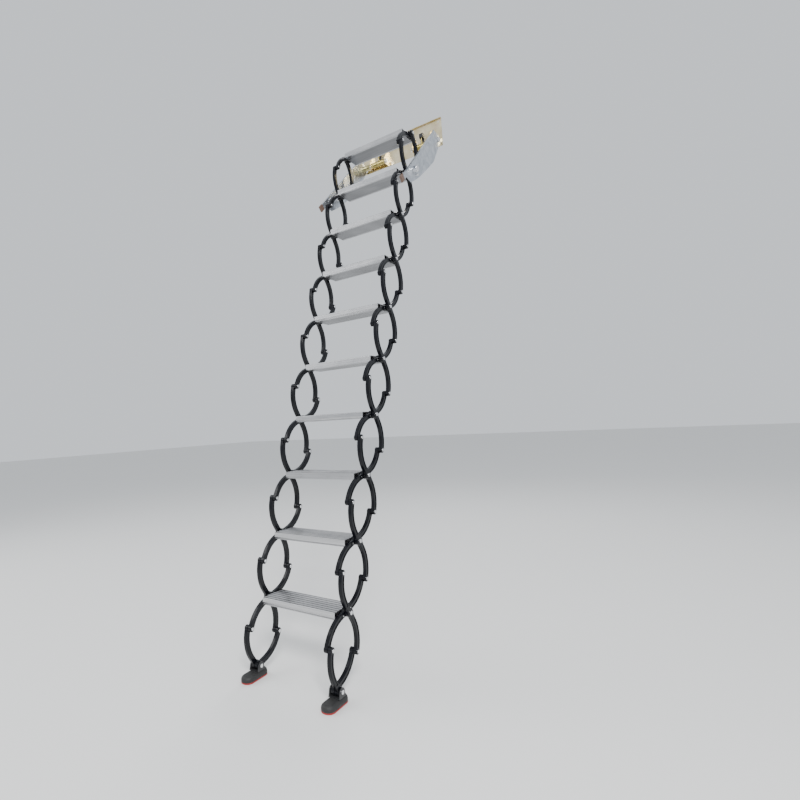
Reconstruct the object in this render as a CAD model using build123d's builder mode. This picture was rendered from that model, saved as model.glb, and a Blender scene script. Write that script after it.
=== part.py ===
from build123d import *
import os
from math import atan2, cos, degrees, hypot, radians, sin

# Scissor attic ladder, drawn pulled down and standing on the floor.
# Millimetres, +Z up, +X across the ladder, +Y into the wall that carries it.
# The origin is the centre of the wall plate's rear face.

# ladder line
tread_count = 10
tread_rise = 274.0  # height from one tread to the next
slope = 69.0  # degrees from the floor
ring_width = 193.0  # between the two joints of one ring
foot_height = 52.0  # foot pivot above the floor

# arm castings
arm_width = 24.0
arm_thickness = 18.0
hub_angle = 54.0  # degrees between an arm and the ladder line at its hub
hub_radius = 19.0
lug_radius = 14.0
hub_bolt_radius = 5.0
rivet_radius = 4.0
groove_width = 10.0
groove_depth = 2.0
arm_edge = 2.0
arm_blend = 10.0  # where the bar runs into its hub and lugs
layer_gap = 1.5  # washer space between the two arms of a crossing

# treads
tread_length = 396.0
tread_depth = 134.0
tread_height = 30.0
tread_wall = 3.0
tread_lip = 13.0  # bottom edge turned inwards
tread_top = 13.5  # walking face above the crossing
rib_count = 6
rib_height = 1.2
rib_width = 5.0
tread_screw_radius = 2.5
boss_radius = 4.6  # screw channel along the underside
tread_screw_reach = 28.0  # from the hub, along the arm

# wall plate and its two spring units
plate_width = 572.0
plate_height = 180.0
plate_thickness = 4.0
plate_lip = 14.0
wall_hole_radius = 5.5
wall_hole_span = 530.0
wall_hole_rise = 140.0
middle_hole_span = 222.0
middle_hole_drop = 20.0
shaft_out = 40.0  # shaft centre in front of the wall
shaft_drop = 65.0  # shaft centre below the plate's centre
shaft_radius = 10.0
shaft_inner_end = 92.0
ear_inner = 98.0
ear_outer = 212.0
ear_thickness = 4.0
ear_radius = 21.0
ear_top = 95.0  # top of the ear's gusset above the shaft
collar_radius = 14.0
wire_radius = 2.75
spring_radius = 14.25  # centre of the spring wire
spring_gap = 2.0
anchor_width = 26.0
anchor_offset = 157.0
anchor_height = 62.0
anchor_foot = 6.0

# swing frame
side_plate_offset = 266.0  # inner face of a side plate from the middle
side_plate_thickness = 3.0
flange_width = 15.0
flange_inset = 30.0  # flange stops short of each end of the upper edge
frame_end_radius = 34.0  # upper end of a side plate, round the shaft
edge_across = 42.0  # upper edge of a side plate, above the hanging pivot
tongue_end = -190.0
lower_edge = [(-190, 14), (-118, 8), (-92, -34), (-20, -52), (60, -66), (240, -84), (341, -92)]
upper_end = [(520.5, -58), (553.4, -2.9), (515, 42)]
hub_tube_radius = 17.0
head_forward = 400.0  # crossing that hangs in the frame, from the shaft
head_drop = 345.0
frame_lean = 43.5  # degrees from level
shaft_nut_radius = 15.0
shaft_nut_height = 11.0
tip_length = 34.0

# hanging pivots
pivot_radius = 8.0
stub_radius = 18.0
stub_reach = 24.0  # outside the side plate
stop_pin_radius = 7.0
stop_pin_drop = 34.0

# feet
shoe_length = 142.0
shoe_width = 62.0
shoe_height = 30.0
shoe_rim = 7.0
shoe_shift = -20.0  # shoe centre in front of the pivot
fork_thickness = 4.0
fork_radius = 17.0
fork_base = 46.0
foot_grip = 4.0  # from an arm to the fork beside it

# fits
pin_clearance = 0.05
turning_gap = 0.5
head_height = 3.2
head_round = 1.2

# worked out from the sizes above
ring_pitch = tread_rise / sin(radians(slope))
half_pitch = ring_pitch / 2
half_ring = ring_width / 2
lean = radians(hub_angle)
bend_radius = (sin(lean) * half_pitch - cos(lean) * half_ring) / (
    sin(lean) ** 2 - cos(lean) * (1 - cos(lean))
)
straight = (half_ring - bend_radius * (1 - cos(lean))) / sin(lean)
arm_reach = hypot(half_pitch, half_ring)
ring_angle = degrees(atan2(half_ring, half_pitch))

top = tread_count
head_level = tread_count - 1
axis_y = cos(radians(slope))
axis_z = sin(radians(slope))
shaft_y = -shaft_out
shaft_z = -shaft_drop
head_y = shaft_y - head_forward
head_z = shaft_z - head_drop

inner_face = tread_length / 2
inner_back = inner_face + arm_thickness
outer_face = inner_back + layer_gap
outer_back = outer_face + arm_thickness
sides = {"left": -1, "right": 1}


def crossing(level):
    """Centre of the crossing at a level, in the middle plane: level 0 is the foot."""
    steps = level - head_level
    return (head_y + steps * ring_pitch * axis_y, head_z + steps * ring_pitch * axis_z)


def ring_joint(level, side):
    """Joint of the ring below a level: side is +1 at the climber's side, -1 at the wall side."""
    y, z = crossing(level)
    return (
        y - half_pitch * axis_y - side * half_ring * axis_z,
        z - half_pitch * axis_z + side * half_ring * axis_y,
    )


def arm_plane(level, x):
    """A plane at a crossing with x up the ladder line and y towards the climber."""
    y, z = crossing(level)
    return Plane(origin=(x, y, z), x_dir=(0, axis_y, axis_z), z_dir=(1, 0, 0))


def both_sides(part):
    """The right-hand piece and its mirror image on the left."""
    with BuildPart() as pair:
        add(part)
        mirror(part, about=Plane.YZ)
    return pair.part


def save(part, name):
    part.label = name
    export_step(part, f"parts/{name}.step")


def rod(radius, low, high, y, z):
    """A round bar along X."""
    with BuildPart() as bar:
        with BuildSketch(Plane.YZ.offset(low)):
            with Locations((y, z)):
                Circle(radius)
        extrude(amount=high - low)
    return bar.part


def hexagon(radius, low, high, y, z):
    """A nut or bolt head along X, by its corner radius."""
    with BuildPart() as nut:
        with BuildSketch(Plane.YZ.offset(low)):
            with Locations((y, z)):
                RegularPolygon(radius, 6)
        extrude(amount=high - low)
        chamfer(nut.edges().filter_by(Axis.X, reverse=True), length=head_round / 2)
    return nut.part


def headed_pin(radius, low, high, y, z, head):
    """A rivet along X with a domed head outside each end of its grip."""
    with BuildPart() as pin:
        add(rod(radius, low, high, y, z))
        for start in (low - head_height, high):
            add(rod(head, start, start + head_height, y, z))
        ends = pin.edges().filter_by(GeomType.CIRCLE).sort_by(Axis.X)
        fillet([ends[0], ends[-1]], radius=head_round)
    return pin.part


# one arm, drawn flat: x runs up the ladder line, y points to the side that its upper end is on


def arm_spine(upper, lower, side):
    """Centre line: straight through the hub, then an arc that ends square at each joint."""
    bend = (straight * cos(lean), side * straight * sin(lean))
    turn = (cos(lean), side * sin(lean))
    with BuildLine() as spine:
        start = bend if upper else (0, 0)
        finish = (-bend[0], -bend[1]) if lower else (0, 0)
        Line(finish, start)
        if upper:
            TangentArc(bend, (half_pitch, side * half_ring), tangent=turn)
        if lower:
            TangentArc(finish, (-half_pitch, -side * half_ring), tangent=(-turn[0], -turn[1]))
    return spine.line


def arm_outline(spine, ends):
    """The arm seen square on, with its hub and lugs blended into the bar."""
    eyes = [((0, 0), hub_radius)] + [(point, lug_radius) for point in ends]
    with BuildSketch() as outline:
        with BuildLine():
            add(spine)
            offset(amount=arm_width / 2)
        make_face()
        for point, radius in eyes:
            with Locations(point):
                Circle(radius)
        corners = []
        for point, radius in eyes:
            close = [v for v in outline.vertices() if abs((Vector(*v) - Vector(*point)).length - radius) < 0.01]
            corners += close
        fillet(corners, radius=arm_blend)
    return outline.sketch


def arm_casting(level, side, face, hub_hole, screw_holes):
    """A right-hand arm: bar, hub and end lugs, with a shallow groove along its outer face."""
    upper, lower = level < top, level > 0
    spine = arm_spine(upper, lower, side)
    ends = [(half_pitch, side * half_ring)] * upper + [(-half_pitch, -side * half_ring)] * lower
    flat = arm_plane(level, face)
    back = arm_plane(level, face + arm_thickness)
    reach = tread_screw_reach
    screws = [(s * reach * cos(lean), s * side * reach * sin(lean)) for s in (1, -1)]
    kept = [point for point, there in zip(screws, (upper, lower)) if there]
    with BuildPart() as arm:
        with BuildSketch(flat):
            add(arm_outline(spine, ends))
        extrude(amount=arm_thickness)
        chamfer(arm.faces().filter_by(Axis.X).edges(), length=arm_edge)
        with BuildSketch(back):
            with BuildLine():
                add(spine)
                offset(amount=groove_width / 2)
            make_face()
            Circle(hub_radius, mode=Mode.SUBTRACT)
            with Locations(*ends):
                Circle(lug_radius + 1, mode=Mode.SUBTRACT)
            with Locations(*kept):
                Circle(groove_width, mode=Mode.SUBTRACT)
        extrude(amount=-groove_depth, mode=Mode.SUBTRACT)
        with BuildSketch(flat):
            Circle(hub_hole)
            with Locations(*ends):
                Circle(rivet_radius + pin_clearance)
            if screw_holes:
                with Locations(*kept):
                    Circle(tread_screw_radius + pin_clearance)
        extrude(amount=arm_thickness, mode=Mode.SUBTRACT)
    return arm.part


def hub_hole(level):
    if level == head_level:
        return pivot_radius + pin_clearance
    return hub_bolt_radius + pin_clearance


def build_arms(level):
    inner = arm_casting(level, -1, inner_face, hub_hole(level), level > 0)
    save(both_sides(inner), f"inner_arms_{level}")
    outer = arm_casting(level, 1, outer_face, hub_hole(level), False)
    save(both_sides(outer), f"outer_arms_{level}")


def screw_offset(turn):
    """A tread screw from its crossing: turn is +1 on the arm's upper half, -1 on its lower half."""
    angle = radians(slope - hub_angle)
    return (turn * tread_screw_reach * cos(angle), turn * tread_screw_reach * sin(angle))


def build_tread(level):
    """An inverted channel with a rounded nose, grip ribs and edges turned in below."""
    y, z = crossing(level)
    half_depth = tread_depth / 2
    low = tread_top - tread_height
    inside = half_depth - tread_wall
    rib_pitch = (tread_depth - 2 * tread_height * 0.6) / (rib_count - 1)
    with BuildPart() as tread:
        with BuildSketch(Plane(origin=(-inner_face, y, z), x_dir=(0, 1, 0), z_dir=(1, 0, 0))) as section:
            with Locations((0, low + tread_height / 2)):
                Rectangle(tread_depth, tread_height)
            nose = section.vertices().sort_by(Axis.Y)[:2].sort_by(Axis.Z)
            fillet(nose[-1], radius=tread_height * 0.35)
            fillet(section.vertices().sort_by(Axis.Y)[-1], radius=tread_wall)
            with Locations((0, low + (tread_height - tread_wall) / 2)):
                Rectangle(2 * inside, tread_height - tread_wall, mode=Mode.SUBTRACT)
            for edge in (-1, 1):
                with Locations((edge * (half_depth - tread_lip / 2), low + tread_wall / 2)):
                    Rectangle(tread_lip, tread_wall)
            for turn in (1, -1):
                spot = screw_offset(turn)
                with Locations(((spot[0]), (spot[1] + tread_top - tread_wall) / 2)):
                    Rectangle(tread_wall, tread_top - tread_wall - spot[1])
                with Locations(spot):
                    Circle(boss_radius)
                    Circle(tread_screw_radius, mode=Mode.SUBTRACT)
            for rib in range(rib_count):
                with Locations(((rib - (rib_count - 1) / 2) * rib_pitch, tread_top + rib_height / 2)):
                    Rectangle(rib_width, rib_height)
        extrude(amount=tread_length)
    save(tread.part, f"tread_{level}")


def build_rivets(level):
    """The bolts, rivets and tread screws that stay in a level's inner arms."""
    hub_head = hub_bolt_radius + 3.6
    rivet_head = rivet_radius + 3.5
    y, z = crossing(level)
    with BuildPart() as right:
        if level == 0:
            grip = foot_grip + fork_thickness + 0.2
            add(headed_pin(hub_bolt_radius, inner_face - grip, outer_back + grip, y, z, hub_head))
        elif level != head_level:
            add(headed_pin(hub_bolt_radius, inner_face - 0.2, outer_back + 0.2, y, z, hub_head))
        joints = []
        if level > 0:
            joints.append(ring_joint(level, 1))
        if level < top:
            joints.append(ring_joint(level + 1, -1))
        for joint in joints:
            add(headed_pin(rivet_radius, inner_face - 0.2, outer_back + 0.2, *joint, rivet_head))
        if level > 0:
            for turn in (1, -1) if level < top else (-1,):
                add(tread_screw(level, turn))
    save(both_sides(right.part), f"rivets_{level}")


def tread_screw(level, turn):
    """A screw through the inner arm, headed in the arm's washer gap."""
    centre = crossing(level)
    offset = screw_offset(turn)
    y, z = centre[0] + offset[0], centre[1] + offset[1]
    with BuildPart() as screw:
        add(rod(tread_screw_radius, inner_face - 14, inner_back + 0.1, y, z))
        add(rod(tread_screw_radius + 1.8, inner_back + 0.1, inner_back + 1.1, y, z))
    return screw.part


def build_wall_plate():
    """Folded steel plate with a lip along its top edge."""
    with BuildPart() as plate:
        with BuildSketch(Plane.XZ):
            Rectangle(plate_width, plate_height)
        extrude(amount=plate_thickness)
        with BuildSketch(Plane.XY.offset(plate_height / 2 - plate_thickness)):
            with Locations((0, -plate_lip / 2)):
                Rectangle(plate_width, plate_lip)
        extrude(amount=plate_thickness)
        fold = plate.edges().filter_by(Axis.X).sort_by(Axis.Z)[-2:].sort_by(Axis.Y)[-1]
        fillet(fold, radius=plate_thickness * 0.9)
        with BuildSketch(Plane.XZ):
            with GridLocations(wall_hole_span, wall_hole_rise, 2, 2):
                Circle(wall_hole_radius)
            with Locations((0, -middle_hole_drop)):
                with GridLocations(middle_hole_span, 1, 2, 1):
                    Circle(wall_hole_radius)
        extrude(amount=plate_thickness, mode=Mode.SUBTRACT)
    save(plate.part, "wall_plate")


def ear(x):
    """One gusset ear: a round eye on the shaft that widens to the plate."""
    foot_y = -plate_thickness
    with BuildPart() as piece:
        with BuildSketch(Plane.YZ.offset(x)):
            with BuildLine():
                Polyline(
                    (foot_y, shaft_z - ear_radius),
                    (shaft_y, shaft_z - ear_radius),
                    (shaft_y - ear_radius * cos(radians(30)), shaft_z + ear_radius * sin(radians(30))),
                    (foot_y - ear_thickness, shaft_z + ear_top),
                    (foot_y, shaft_z + ear_top),
                    close=True,
                )
            make_face()
            with Locations((shaft_y, shaft_z)):
                Circle(ear_radius)
                Circle(shaft_radius + pin_clearance, mode=Mode.SUBTRACT)
        extrude(amount=ear_thickness)
    return piece.part


def build_shaft_brackets():
    """A U bracket each side: two ears joined by a base that lies on the wall plate."""
    width = ear_outer + ear_thickness - ear_inner
    with BuildPart() as right:
        add(ear(ear_inner))
        add(ear(ear_outer))
        with BuildSketch(Plane.XZ.offset(plate_thickness)):
            with Locations((ear_inner + width / 2, shaft_z)):
                Rectangle(width, 2 * ear_radius)
        extrude(amount=ear_thickness)
    save(both_sides(right.part), "shaft_brackets")


def build_shafts():
    """A stub shaft each side, with a collar inside the inner ear."""
    outside = side_plate_offset + side_plate_thickness
    with BuildPart() as right:
        add(rod(shaft_radius, shaft_inner_end, outside + shaft_nut_height + 2, shaft_y, shaft_z))
        add(rod(collar_radius, shaft_inner_end - 4, ear_inner - pin_clearance, shaft_y, shaft_z))
    save(both_sides(right.part), "stub_shafts")


def build_shaft_nuts():
    low = side_plate_offset + side_plate_thickness + turning_gap
    with BuildPart() as right:
        add(hexagon(shaft_nut_radius, low, low + shaft_nut_height, shaft_y, shaft_z))
        add(rod(shaft_radius, low, low + shaft_nut_height, shaft_y, shaft_z), mode=Mode.SUBTRACT)
    save(both_sides(right.part), "shaft_nuts")


def build_springs():
    """A close-wound torsion spring each side, as the sleeve that its turns fill."""
    low = ear_inner + ear_thickness + spring_gap
    high = ear_outer - spring_gap
    turns = int((high - low) / (2 * wire_radius))
    pitch = (high - low) / turns
    inner = spring_radius - wire_radius
    outer = spring_radius + wire_radius
    with BuildPart() as right:
        with BuildSketch(Plane.XY.offset(shaft_z)):
            with BuildLine():
                Polyline(
                    (low, shaft_y - outer + 1),
                    (low, shaft_y - inner),
                    (high, shaft_y - inner),
                    (high, shaft_y - outer + 1),
                )
                for turn in range(turns):
                    start = high - turn * pitch
                    ThreePointArc(
                        (start, shaft_y - outer + 1),
                        (start - pitch / 2, shaft_y - outer),
                        (start - pitch, shaft_y - outer + 1),
                    )
            make_face()
        revolve(axis=Axis((0, shaft_y, shaft_z), (1, 0, 0)))
        leg_bottom = shaft_z + spring_radius * 0.2
        with BuildSketch(Plane.XY.offset(leg_bottom)):
            with Locations((anchor_offset, shaft_y + spring_radius)):
                Circle(wire_radius)
        extrude(amount=anchor_height)
    save(both_sides(right.part), "torsion_springs")


def build_anchors():
    """A black steel clip each side that holds the spring's fixed leg against the plate."""
    base = -plate_thickness
    front = shaft_y + spring_radius - wire_radius - 5
    low = shaft_z + ear_radius + 6
    with BuildPart() as right:
        with BuildSketch(Plane.YZ.offset(anchor_offset - anchor_width / 2)):
            with BuildLine():
                Polyline(
                    (base, low),
                    (base - anchor_foot, low),
                    (base - anchor_foot, low + anchor_height * 0.5),
                    (front, low + anchor_height * 0.6),
                    (front, low + anchor_height),
                    (front + 4, low + anchor_height),
                    (base, low + anchor_height),
                    close=True,
                )
            make_face()
        extrude(amount=anchor_width)
        with BuildSketch(Plane.XY.offset(low)):
            with Locations((anchor_offset, shaft_y + spring_radius)):
                Circle(wire_radius + pin_clearance)
        extrude(amount=2 * anchor_height, mode=Mode.SUBTRACT)
    save(both_sides(right.part), "spring_anchors")


def frame_point(along, across):
    """A point of a side plate: along runs from the hanging crossing up the frame, across is square to it."""
    c, s = cos(radians(frame_lean)), sin(radians(frame_lean))
    return (head_y + along * c - across * s, head_z + along * s + across * c)


def build_side_plate(name, side):
    """Pressed side plate: long upper edge with a flange, lobe at the pivot, rounded upper end."""
    low = side * side_plate_offset
    outline = [(tongue_end, edge_across)] + lower_edge + upper_end
    eye = Vector(shaft_y, shaft_z)
    with BuildPart() as plate:
        with BuildSketch(Plane.YZ.offset(low)) as shape:
            with BuildLine():
                Polyline(*[frame_point(*point) for point in outline], close=True)
            make_face()
            lobes = shape.vertices().sort_by_distance((*eye, 0))[3:]
            fillet(lobes, radius=7)
            with Locations(eye):
                Circle(frame_end_radius)
                Circle(shaft_radius + turning_gap, mode=Mode.SUBTRACT)
            with Locations((head_y, head_z)):
                Circle(pivot_radius + pin_clearance, mode=Mode.SUBTRACT)
        extrude(amount=side * side_plate_thickness)
        start = frame_point(tongue_end + flange_inset, edge_across)
        finish = frame_point(upper_end[-1][0] - flange_inset, edge_across)
        edge = Vector(0, finish[0] - start[0], finish[1] - start[1])
        square = edge.cross(Vector(side, 0, 0)).normalized() * side
        middle = Vector(low + side * flange_width / 2, *start) + square * side_plate_thickness / 2
        with BuildSketch(Plane(origin=middle, x_dir=(side, 0, 0), z_dir=edge)):
            Rectangle(flange_width, side_plate_thickness)
        extrude(amount=edge.length)
    save(plate.part, name)


def build_hub_tubes():
    """The tube welded to each side plate, which turns on the stub shaft."""
    low = ear_outer + ear_thickness + 2
    with BuildPart() as right:
        add(rod(hub_tube_radius, low, side_plate_offset, shaft_y, shaft_z))
        add(rod(shaft_radius + pin_clearance, low, side_plate_offset, shaft_y, shaft_z), mode=Mode.SUBTRACT)
    save(both_sides(right.part), "hub_tubes")


def build_tip_covers():
    """A moulded cap pushed over the end of each side plate's tongue."""
    middle = side_plate_offset + side_plate_thickness / 2
    c, s = cos(radians(frame_lean)), sin(radians(frame_lean))
    y, z = frame_point(tongue_end - 6, edge_across / 2 + 8)
    with BuildPart() as right:
        with BuildSketch(Plane(origin=(middle, y, z), x_dir=(1, 0, 0), z_dir=(0, c, s))):
            RectangleRounded(11, 36, 3)
        extrude(amount=tip_length)
        plate = Plane(origin=(middle, *frame_point(tongue_end - 0.2, edge_across / 2 + 8)), x_dir=(1, 0, 0), z_dir=(0, c, s))
        with BuildSketch(plate):
            Rectangle(side_plate_thickness + 0.1, 60)
        extrude(amount=tip_length, mode=Mode.SUBTRACT)
    return right.part


def build_hanging_pivots():
    """A shouldered stub through each side plate and the two arm hubs behind it."""
    shoulder = outer_back + turning_gap
    outside = side_plate_offset + side_plate_thickness
    with BuildPart() as right:
        add(rod(pivot_radius, inner_face - 3, outside + stub_reach, head_y, head_z))
        add(rod(stub_radius, shoulder, side_plate_offset - turning_gap, head_y, head_z))
        add(rod(pivot_radius + 1.5, inner_face - 6, inner_face - turning_gap, head_y, head_z))
    save(both_sides(right.part), "hanging_pivots")


def build_pivot_caps():
    """The thick round nut that closes each stub outside its side plate."""
    low = side_plate_offset + side_plate_thickness + turning_gap
    high = side_plate_offset + side_plate_thickness + stub_reach + 5
    with BuildPart() as right:
        add(rod(stub_radius, low, high, head_y, head_z))
        fillet(right.edges().filter_by(GeomType.CIRCLE).sort_by(Axis.X)[-1], radius=5)
        add(rod(pivot_radius, low, high - 5, head_y, head_z), mode=Mode.SUBTRACT)
    save(both_sides(right.part), "pivot_caps")


def build_stop_pins():
    """A headed pin in each side plate below its stub."""
    y, z = frame_point(6, -stop_pin_drop)
    outside = side_plate_offset + side_plate_thickness
    with BuildPart() as right:
        add(rod(stop_pin_radius, outside, outside + 16, y, z))
        fillet(right.edges().filter_by(GeomType.CIRCLE).sort_by(Axis.X)[-1], radius=2.5)
    save(both_sides(right.part), "stop_pins")


def build_foot(name, side):
    """A foot: fork on the ladder's lowest pins, and the rubber shoe under it."""
    y, z = crossing(0)
    floor = z - foot_height
    middle = side * (inner_face + outer_back) / 2
    grip = (outer_back - inner_face) / 2 + foot_grip
    with BuildPart() as fork:
        for cheek in (-1, 1):
            start = middle + cheek * grip - (0 if cheek > 0 else fork_thickness)
            with BuildSketch(Plane.YZ.offset(start)):
                with Locations((y, z)):
                    Circle(fork_radius)
                with BuildLine():
                    Polyline(
                        (y - fork_radius, z),
                        (y + fork_radius, z),
                        (y + fork_base / 2, floor + shoe_height),
                        (y - fork_base / 2, floor + shoe_height),
                        close=True,
                    )
                make_face()
                with Locations((y, z)):
                    Circle(hub_bolt_radius + pin_clearance, mode=Mode.SUBTRACT)
            extrude(amount=fork_thickness)
        with BuildSketch(Plane.XY.offset(floor + shoe_height)):
            with Locations((middle, y)):
                Rectangle(2 * (grip + fork_thickness), fork_base)
        extrude(amount=foot_height - hub_radius - shoe_height - turning_gap)
    save(fork.part, f"foot_bracket_{name}")
    with BuildPart() as shoe:
        with BuildSketch(Plane.XY.offset(floor)):
            with Locations((middle, y + shoe_shift)):
                SlotOverall(shoe_length, shoe_width, rotation=90)
        extrude(amount=shoe_height)
        fillet(shoe.faces().sort_by(Axis.Z)[-1].edges(), radius=16)
        chamfer(shoe.faces().sort_by(Axis.Z)[0].edges(), length=1.5)
    save(shoe.part, f"foot_shoe_{name}")


os.makedirs("parts", exist_ok=True)
for level in range(tread_count + 1):
    build_arms(level)
    build_rivets(level)
    if level:
        build_tread(level)
build_wall_plate()
build_shaft_brackets()
build_shafts()
build_shaft_nuts()
build_springs()
build_anchors()
for name, side in sides.items():
    build_side_plate(f"side_plate_{name}", side)
    build_foot(name, side)
build_hub_tubes()
save(both_sides(build_tip_covers()), "tip_covers")
build_hanging_pivots()
build_pivot_caps()
build_stop_pins()

print("ring pitch", round(ring_pitch, 2), "arm reach", round(arm_reach, 2), "ring angle", round(ring_angle, 2))
for level in range(tread_count + 1):
    print("crossing", level, [round(v, 2) for v in crossing(level)])
print("shaft", shaft_y, shaft_z, "floor", round(crossing(0)[1] - foot_height, 2))
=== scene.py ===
import math

import bpy
import numpy as np
from mathutils import Matrix, Vector


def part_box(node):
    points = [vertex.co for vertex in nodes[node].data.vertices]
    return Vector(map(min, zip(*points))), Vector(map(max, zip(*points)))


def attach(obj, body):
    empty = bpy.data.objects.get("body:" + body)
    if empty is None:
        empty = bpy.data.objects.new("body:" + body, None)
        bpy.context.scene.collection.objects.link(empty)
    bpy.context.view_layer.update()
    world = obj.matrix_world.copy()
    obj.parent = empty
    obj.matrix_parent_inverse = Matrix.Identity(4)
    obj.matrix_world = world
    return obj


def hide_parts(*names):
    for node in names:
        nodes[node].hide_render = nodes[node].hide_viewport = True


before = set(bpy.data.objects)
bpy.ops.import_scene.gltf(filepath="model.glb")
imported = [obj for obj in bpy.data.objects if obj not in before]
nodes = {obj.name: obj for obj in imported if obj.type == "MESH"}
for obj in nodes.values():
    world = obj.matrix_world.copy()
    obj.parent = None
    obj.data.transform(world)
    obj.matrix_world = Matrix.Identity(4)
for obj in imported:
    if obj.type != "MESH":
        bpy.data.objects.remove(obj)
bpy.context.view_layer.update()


# S-shaped arms: castings with a black gloss powder coat, riveted in crossing pairs.
# The coat is slightly uneven, with fine scuffs and a faint orange peel.
class Value:
    """A shader socket that can be added, multiplied and compared like a number."""

    def __init__(self, tree, socket):
        self.tree = tree
        self.socket = socket

    def node(self, kind, inputs, out=0, **settings):
        """Any node: inputs is {socket index or name: Value or plain value}."""
        made = self.tree.nodes.new(kind)
        for key, setting in settings.items():
            setattr(made, key, setting)
        for key, given in inputs.items():
            if isinstance(given, Value):
                self.tree.links.new(given.socket, made.inputs[key])
            else:
                made.inputs[key].default_value = given
        return Value(self.tree, made.outputs[out])

    def _math(self, operation, a, b):
        return self.node("ShaderNodeMath", {0: a, 1: b}, operation=operation)

    def __add__(self, other):
        return self._math("ADD", self, other)

    def __radd__(self, other):
        return self._math("ADD", other, self)

    def __sub__(self, other):
        return self._math("SUBTRACT", self, other)

    def __rsub__(self, other):
        return self._math("SUBTRACT", other, self)

    def __mul__(self, other):
        return self._math("MULTIPLY", self, other)

    def __rmul__(self, other):
        return self._math("MULTIPLY", other, self)

    def __gt__(self, other):
        return self._math("GREATER_THAN", self, other)

    def __lt__(self, other):
        return self._math("LESS_THAN", self, other)

    def stretched(self, x, y, z):
        """These coordinates times a factor per axis."""
        return self.node("ShaderNodeVectorMath", {0: self, 1: (x, y, z)}, operation="MULTIPLY")

    def noise(self, scale, detail=3.0):
        return self.node("ShaderNodeTexNoise", {"Vector": self, "Scale": scale, "Detail": detail})

    def between(self, low, high, start=0.3, end=0.7):
        """low where this is start or less, high where it is end or more."""
        return self.node("ShaderNodeMapRange", {0: self, 1: start, 2: end, 3: low, 4: high})

    def colour(self, first, second):
        """The first colour where this is 0, the second where it is 1."""
        first, second = (c if isinstance(c, Value) else (*c, 1) for c in (first, second))
        # sockets 6 and 7 are the Mix node's two colours, and output 2 is their mixture
        return self.node("ShaderNodeMix", {0: self, 6: first, 7: second}, out=2, data_type="RGBA")

    def bump(self, distance, strength=1.0):
        return self.node("ShaderNodeBump", {"Height": self, "Distance": distance, "Strength": strength})


def surface(name):
    """A new material: (material, its main shader, object coordinates as a Value)."""
    made = bpy.data.materials.new(name)
    made.use_nodes = True
    tree = made.node_tree
    shader = tree.nodes["Principled BSDF"]
    coords = tree.nodes.new("ShaderNodeTexCoord")
    return made, shader, Value(tree, coords.outputs["Object"])


def plug(shader, **values):
    """Sets or links the shader's sockets, by name with _ for a space."""
    for key, given in values.items():
        socket = shader.inputs[key.replace("_", " ")]
        if isinstance(given, Value):
            given.tree.links.new(given.socket, socket)
        else:
            socket.default_value = given


def finish_nodes(material, names):
    """Gives CAD nodes this material through their objects' slots."""
    for name in names:
        piece = nodes[name]
        if not piece.material_slots:
            piece.data.materials.append(material)
        for place in piece.material_slots:
            place.link = "OBJECT"
            place.material = material


black, shader, at = surface("arm coat")
cloud = at.noise(9.0, 4.0)
grain = at.noise(900.0, 2.0)
scuff = at.noise(60.0, 6.0).between(0.0, 1.0, 0.62, 0.75)
plug(
    shader,
    Base_Color=cloud.between(0.0, 1.0).colour((0.0025, 0.0028, 0.004), (0.005, 0.0055, 0.008)),
    Roughness=cloud.between(0.13, 0.24) + scuff * 0.2,
    Specular_IOR_Level=0.22,
    Normal=grain.bump(0.0001, 0.3),
)
finish_nodes(black, [n for n in nodes if n.startswith(("inner_arms_", "outer_arms_"))])

# Treads: extruded aluminium with grip ribs, screwed to the inner arms.
# Satin metal drawn along its length, with painted shade darkening the valleys between the ribs.
# Tread k stands k rises up and k runs in from the start of the tread line.
tread_rise, tread_run = 0.274, 0.105178
start_out, start_down = 1.38661, 2.876
half_rib_pitch = 0.0098
valley_core, valley_edge = 0.0022, 0.0034
valley_low, valley_high = 0.0125, 0.0141


def axis(coords, which):
    """One coordinate as a Value: 0 is x, 1 is y and 2 is z."""
    return coords.node("ShaderNodeSeparateXYZ", {0: coords}, out=which)


satin, shader, at = surface("tread aluminium")
drawn = at.stretched(1.2, 420.0, 420.0).noise(1.0, 4.0)
cloud = at.noise(14.0, 3.0)
steps = (axis(at, 2) + start_down) * (1 / tread_rise)
nearest = steps.node("ShaderNodeMath", {0: steps}, operation="ROUND")
depth = axis(at, 1) + start_out - nearest * tread_run
above = axis(at, 2) + start_down - nearest * tread_rise
spread = depth.node("ShaderNodeMath", {0: depth, 1: half_rib_pitch}, operation="PINGPONG")
# The mask below marks the gaps between the ribs. They are painted near-black as painted shade in the
# grooves, and made rougher.
valley_shade = spread.between(1.0, 0.0, valley_core, valley_edge) * (above > valley_low) * (above < valley_high)
metal = drawn.between(0.0, 1.0).colour((0.44, 0.44, 0.45), (0.64, 0.64, 0.645))
plug(
    shader,
    Metallic=1.0,
    # Near-black in the valleys between the ribs: painted shade.
    Base_Color=valley_shade.colour(metal, (0.07, 0.07, 0.072)),
    Roughness=drawn.between(0.24, 0.38) + cloud.between(-0.03, 0.08) + valley_shade * 0.25,
    Anisotropic=0.5,
    Normal=drawn.bump(0.00012, 0.4),
)
finish_nodes(satin, [n for n in nodes if n.startswith("tread_")])

# Tread undersides: a smooth flat web between the turned-in edges of each tread, one per tread.
# Each is a thin slab from end to end of the tread, just inside its lower face.
tread_count = 10
turned_edge = 0.0131
web_gap, web_top = 0.0004, 0.0026


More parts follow.
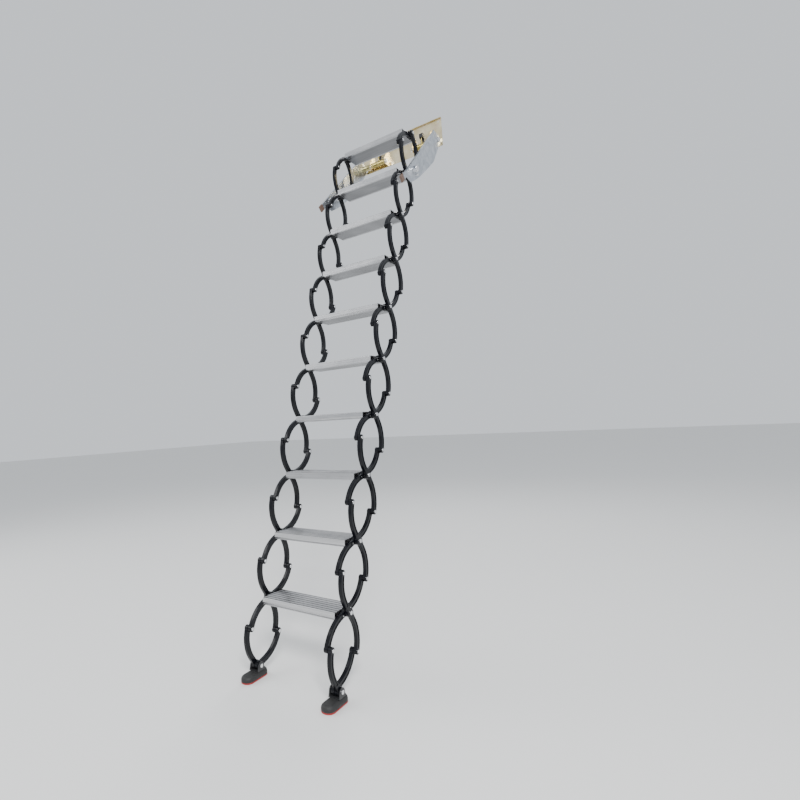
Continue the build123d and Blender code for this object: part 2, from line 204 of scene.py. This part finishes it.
def mesh_object(name, points, faces, material):
    """A smooth mesh in the row frame."""
    mesh = bpy.data.meshes.new(name)
    mesh.from_pydata([tuple(map(float, p)) for p in points], [], [tuple(map(int, f)) for f in faces])
    mesh.polygons.foreach_set("use_smooth", [True] * len(mesh.polygons))
    mesh.materials.append(material)
    piece = bpy.data.objects.new(name, mesh)
    bpy.context.scene.collection.objects.link(piece)
    return piece


# The underside metal is a darker copy of the tread aluminium: painted shade for the faces turned away from
# the light. The drawn streaks are mixed with broad darker patches of painted shade.
shaded_aluminium, shader, at = surface("shaded tread underside")
drawn = at.stretched(1.2, 300.0, 300.0).noise(1.0, 4.0)
shade = at.noise(5.0, 2.0)
streaks_and_shade = drawn * 0.5 + shade * 0.5
plug(
    shader,
    Metallic=1.0,
    Base_Color=streaks_and_shade.between(0.0, 1.0).colour((0.16, 0.16, 0.165), (0.42, 0.42, 0.43)),
    Roughness=drawn.between(0.28, 0.42),
)
for level in range(1, tread_count + 1):
    low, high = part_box(f"tread_{level}")
    x, y0, y1 = high[0] - web_gap, low[1] + turned_edge, high[1] - turned_edge
    z0, z1 = low[2] + web_gap, low[2] + web_top
    points = [(i, j, k) for k in (z0, z1) for j in (y0, y1) for i in (-x, x)]
    faces = [(0, 2, 3, 1), (4, 5, 7, 6), (0, 1, 5, 4), (2, 6, 7, 3), (0, 4, 6, 2), (1, 3, 7, 5)]
    web = mesh_object(f"tread_web_{level}", points, faces, shaded_aluminium)
    web.data.polygons.foreach_set("use_smooth", [False] * len(faces))
    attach(web, f"A_{level}")

# Rivets, bolts, pins and nuts: turned steel with a bright plating.
# They pass through the arms, the feet, the swing frame and the shaft ends.
bright, shader, at = surface("bright plating")
cloud = at.noise(160.0, 3.0)
plug(
    shader,
    Metallic=1.0,
    Base_Color=cloud.between(0.0, 1.0).colour((0.70, 0.70, 0.71), (0.86, 0.86, 0.87)),
    Roughness=cloud.between(0.14, 0.28),
)
loose = ["stub_shafts", "shaft_nuts", "hanging_pivots", "pivot_caps", "stop_pins"]
finish_nodes(bright, [n for n in nodes if n.startswith("rivets_")] + loose)

# Side plates: pressed sheet, clear zinc plated, turning on the stub shafts.
# The plating is cloudy grey with a bluish cast and fine handling scratches.
zinc, shader, at = surface("clear zinc")
cloud = at.noise(18.0, 5.0)
patches = at.node("ShaderNodeTexVoronoi", {"Vector": at, "Scale": 55.0}, out=1)
tone = at.node("ShaderNodeRGBToBW", {0: patches})
line = at.stretched(30.0, 900.0, 60.0).noise(1.0, 2.0)
spangle = cloud * 0.7 + tone * 0.3
plug(
    shader,
    Metallic=1.0,
    Base_Color=spangle.between(0.0, 1.0).colour((0.42, 0.45, 0.49), (0.66, 0.69, 0.73)),
    Roughness=cloud.between(0.26, 0.42) + line.between(0.0, 0.06),
    Normal=line.bump(0.0001, 0.3),
)
finish_nodes(zinc, ["side_plate_left", "side_plate_right"])

# Wall plate and shaft brackets: yellow passivated steel, bolted to the wall.
# The passivation drifts from gold to a coppery pink.
yellow, shader, at = surface("yellow zinc")
cloud = at.noise(11.0, 4.0)
drift = at.noise(26.0, 3.0)
gold = cloud.between(0.0, 1.0).colour((0.72, 0.58, 0.30), (0.88, 0.80, 0.58))
plug(
    shader,
    Metallic=1.0,
    Base_Color=drift.between(0.0, 0.55, 0.5, 0.75).colour(gold, (0.74, 0.56, 0.48)),
    Roughness=cloud.between(0.22, 0.38),
)
finish_nodes(yellow, ["wall_plate", "shaft_brackets"])

# Spring anchors and foot brackets: steel and castings under black paint.
# The anchors stand on the wall plate, and the brackets hang on the lowest crossing.
paint, shader, at = surface("black paint")
grain = at.noise(700.0, 3.0)
plug(
    shader,
    Base_Color=grain.between(0.0, 1.0).colour((0.012, 0.012, 0.013), (0.028, 0.028, 0.03)),
    Roughness=grain.between(0.34, 0.5),
    Normal=grain.bump(0.0002, 0.3),
)
finish_nodes(paint, ["spring_anchors", "foot_bracket_left", "foot_bracket_right"])

# Tip covers: dark brown moulded caps with a fine matt grain.
# They are pushed over the tongues of the side plates.
moulded, shader, at = surface("moulded brown")
grain = at.noise(500.0, 3.0)
plug(
    shader,
    Base_Color=grain.between(0.0, 1.0).colour((0.09, 0.055, 0.04), (0.15, 0.09, 0.065)),
    Roughness=grain.between(0.5, 0.62),
    Normal=grain.bump(0.0002, 0.3),
)
finish_nodes(moulded, ["tip_covers"])

# Shoes: matt black rubber under the foot brackets, with a red band round the sole.
# Pale dust clings to the lowest part.
band_height, dust_height = 0.0065, 0.02

rubber, shader, at = surface("shoe rubber")
height = axis(at, 2)
grain = at.noise(420.0, 4.0)
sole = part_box("foot_shoe_left")[0][2]
band = height < sole + band_height
dust = height.between(1.0, 0.0, sole, sole + dust_height) * at.noise(50.0, 4.0).between(0.0, 0.6, 0.45, 0.7)
dark = dust.colour((0.014, 0.014, 0.014), (0.09, 0.085, 0.08))
plug(
    shader,
    Base_Color=band.colour(dark, (0.33, 0.02, 0.018)),
    Roughness=grain.between(0.55, 0.75),
    Normal=grain.bump(0.0003, 0.4),
)
finish_nodes(rubber, ["foot_shoe_left", "foot_shoe_right"])

# Hub tubes: steel sleeves with an olive passivation.
# They are welded inside the side plates and turn with them.
olive, shader, at = surface("olive zinc")
cloud = at.noise(40.0, 4.0)
plug(
    shader,
    Metallic=1.0,
    Base_Color=cloud.between(0.0, 1.0).colour((0.34, 0.28, 0.10), (0.60, 0.53, 0.28)),
    Roughness=cloud.between(0.22, 0.36),
)
finish_nodes(olive, ["hub_tubes"])

# Torsion springs: close-wound passivated wire on the stub shafts, one leg held by each anchor.
# x runs evenly along the shaft while the wire turns round it; the leg leaves upwards.
wire_radius, coil_radius, turns = 0.00272, 0.01425, 18
leg_radius = wire_radius - 0.0001
steps_per_turn, leg_steps, wire_sides = 28, 12, 9
shaft_y, shaft_z = -0.040, -0.065
coil_start, end_gap = 0.104, 0.0005
leg_x, leg_start, leg_gap = 0.157, 0.003, 0.0003


def tube(path, radius, sides):
    """A round tube carried along a path, with capped ends: (points, faces).

    Each path point gets a ring of sides points: the point, plus radius times the
    cosine of the turn along side, plus radius times its sine along up. side and up
    are square to the path, and side turns as little as it can from ring to ring.
    """
    path = np.asarray(path, float)
    along = np.gradient(path, axis=0)
    along /= np.linalg.norm(along, axis=1)[:, None]
    side = np.cross(along[0], (0.3, 0.2, 0.93))
    turn = np.arange(sides) / sides * 2 * np.pi
    points = []
    for here, way in zip(path, along):
        side = side - way * side.dot(way)
        side /= np.linalg.norm(side)
        up = np.cross(way, side)
        points.append(here + radius * (np.cos(turn)[:, None] * side + np.sin(turn)[:, None] * up))
    count = len(path)
    faces = []
    for ring in range(count - 1):
        for k in range(sides):
            a, b = ring * sides + k, ring * sides + (k + 1) % sides
            faces.append((a, b, b + sides, a + sides))
    faces.append(tuple(range(sides))[::-1])
    faces.append(tuple(range((count - 1) * sides, count * sides)))
    return np.concatenate(points), faces


wire, shader, at = surface("spring wire")
cloud = at.noise(70.0, 4.0)
plug(
    shader,
    Metallic=1.0,
    Base_Color=cloud.between(0.0, 1.0).colour((0.40, 0.32, 0.09), (0.68, 0.57, 0.24)),
    Roughness=cloud.between(0.24, 0.4),
)
low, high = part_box("torsion_springs")
turn = np.linspace(0, 2 * np.pi * turns, turns * steps_per_turn)
reach = np.linspace(high[0] - wire_radius - end_gap, coil_start + wire_radius + end_gap, len(turn))
coil_y, coil_z = shaft_y + coil_radius * np.cos(turn), shaft_z + coil_radius * np.sin(turn)
leg_y = np.full(leg_steps, shaft_y + coil_radius)
leg_z = shaft_z + np.linspace(leg_start, high[2] - shaft_z - leg_gap, leg_steps)
points, faces = [], []
for side in (-1, 1):
    coil = np.stack([side * reach, coil_y, coil_z], axis=1)
    leg = np.stack([np.full(leg_steps, side * leg_x), leg_y, leg_z], axis=1)
    for path, radius in ((coil, wire_radius), (leg, leg_radius)):
        rings, quads = tube(path, radius, wire_sides)
        faces += [tuple(i + len(points) for i in quad) for quad in quads]
        points += list(rings)
springs = mesh_object("wound_springs", points, faces, wire)
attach(springs, "mount")
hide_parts("torsion_springs")

# Floor: a plain pale plane under the feet, not part of the ladder.
floor_reach, floor_gap = 30, 0.0005

pale, shader, at = surface("pale floor")
plug(shader, Base_Color=(0.74, 0.74, 0.73, 1), Roughness=0.7)
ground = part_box("foot_shoe_left")[0][2] - floor_gap
corners = [(floor_reach * i, floor_reach * j, ground) for i, j in ((-1, -1), (1, -1), (1, 1), (-1, 1))]
floor = mesh_object("floor", corners, [(0, 1, 2, 3)], pale)

# Studio light: a broad key from the camera's side, a fill from the left and a soft world.
world = bpy.data.worlds.new("studio")
bpy.context.scene.world = world
world.use_nodes = True
sky = world.node_tree.nodes["Background"]
sky.inputs["Color"].default_value = (0.86, 0.9, 0.95, 1)
sky.inputs["Strength"].default_value = 0.95
for name, place, aim, power, size in (
    ("key", (3.2, -4.6, 1.6), (0, -0.8, -1.4), 420, 1.6),
    ("fill", (-4.2, -3.0, 0.4), (0, -0.8, -1.6), 110, 3.0),
    ("back", (-1.0, 3.0, 1.8), (0, -0.6, -1.0), 90, 2.0),
):
    light = bpy.data.lights.new(name, "AREA")
    light.energy, light.size = power, size
    lamp = bpy.data.objects.new(name, light)
    lamp.location = place
    lamp.rotation_euler = (Vector(aim) - Vector(place)).to_track_quat("-Z", "Y").to_euler()
    bpy.context.scene.collection.objects.link(lamp)

# Camera: low at the climber's right, looking up the ladder to the wall plate.
# The lens and its shift are worked out on a square view of 800 by 800.
view_size, sensor = 800, 36
focal, middle_x, middle_y = 506.07, 305.35, 402.79
stand = (1.4213, -3.06989, -1.81797)
yaw, pitch, roll = 0.65171, 0.04596, -0.05436

forward = Vector((-math.sin(yaw) * math.cos(pitch), math.cos(yaw) * math.cos(pitch), math.sin(pitch)))
right = Vector((math.cos(yaw), math.sin(yaw), 0))
overhead = right.cross(forward)
across = right * math.cos(roll) + overhead * math.sin(roll)
upward = overhead * math.cos(roll) - right * math.sin(roll)
lens = bpy.data.cameras.new("camera")
lens.sensor_width = sensor
lens.lens = focal / view_size * sensor
lens.shift_x = (view_size / 2 - middle_x) / view_size
lens.shift_y = (middle_y - view_size / 2) / view_size
camera = bpy.data.objects.new("camera", lens)
turned = Matrix((across, upward, -forward)).transposed().to_4x4()
camera.matrix_world = Matrix.Translation(stand) @ turned
bpy.context.scene.collection.objects.link(camera)
bpy.context.scene.camera = camera
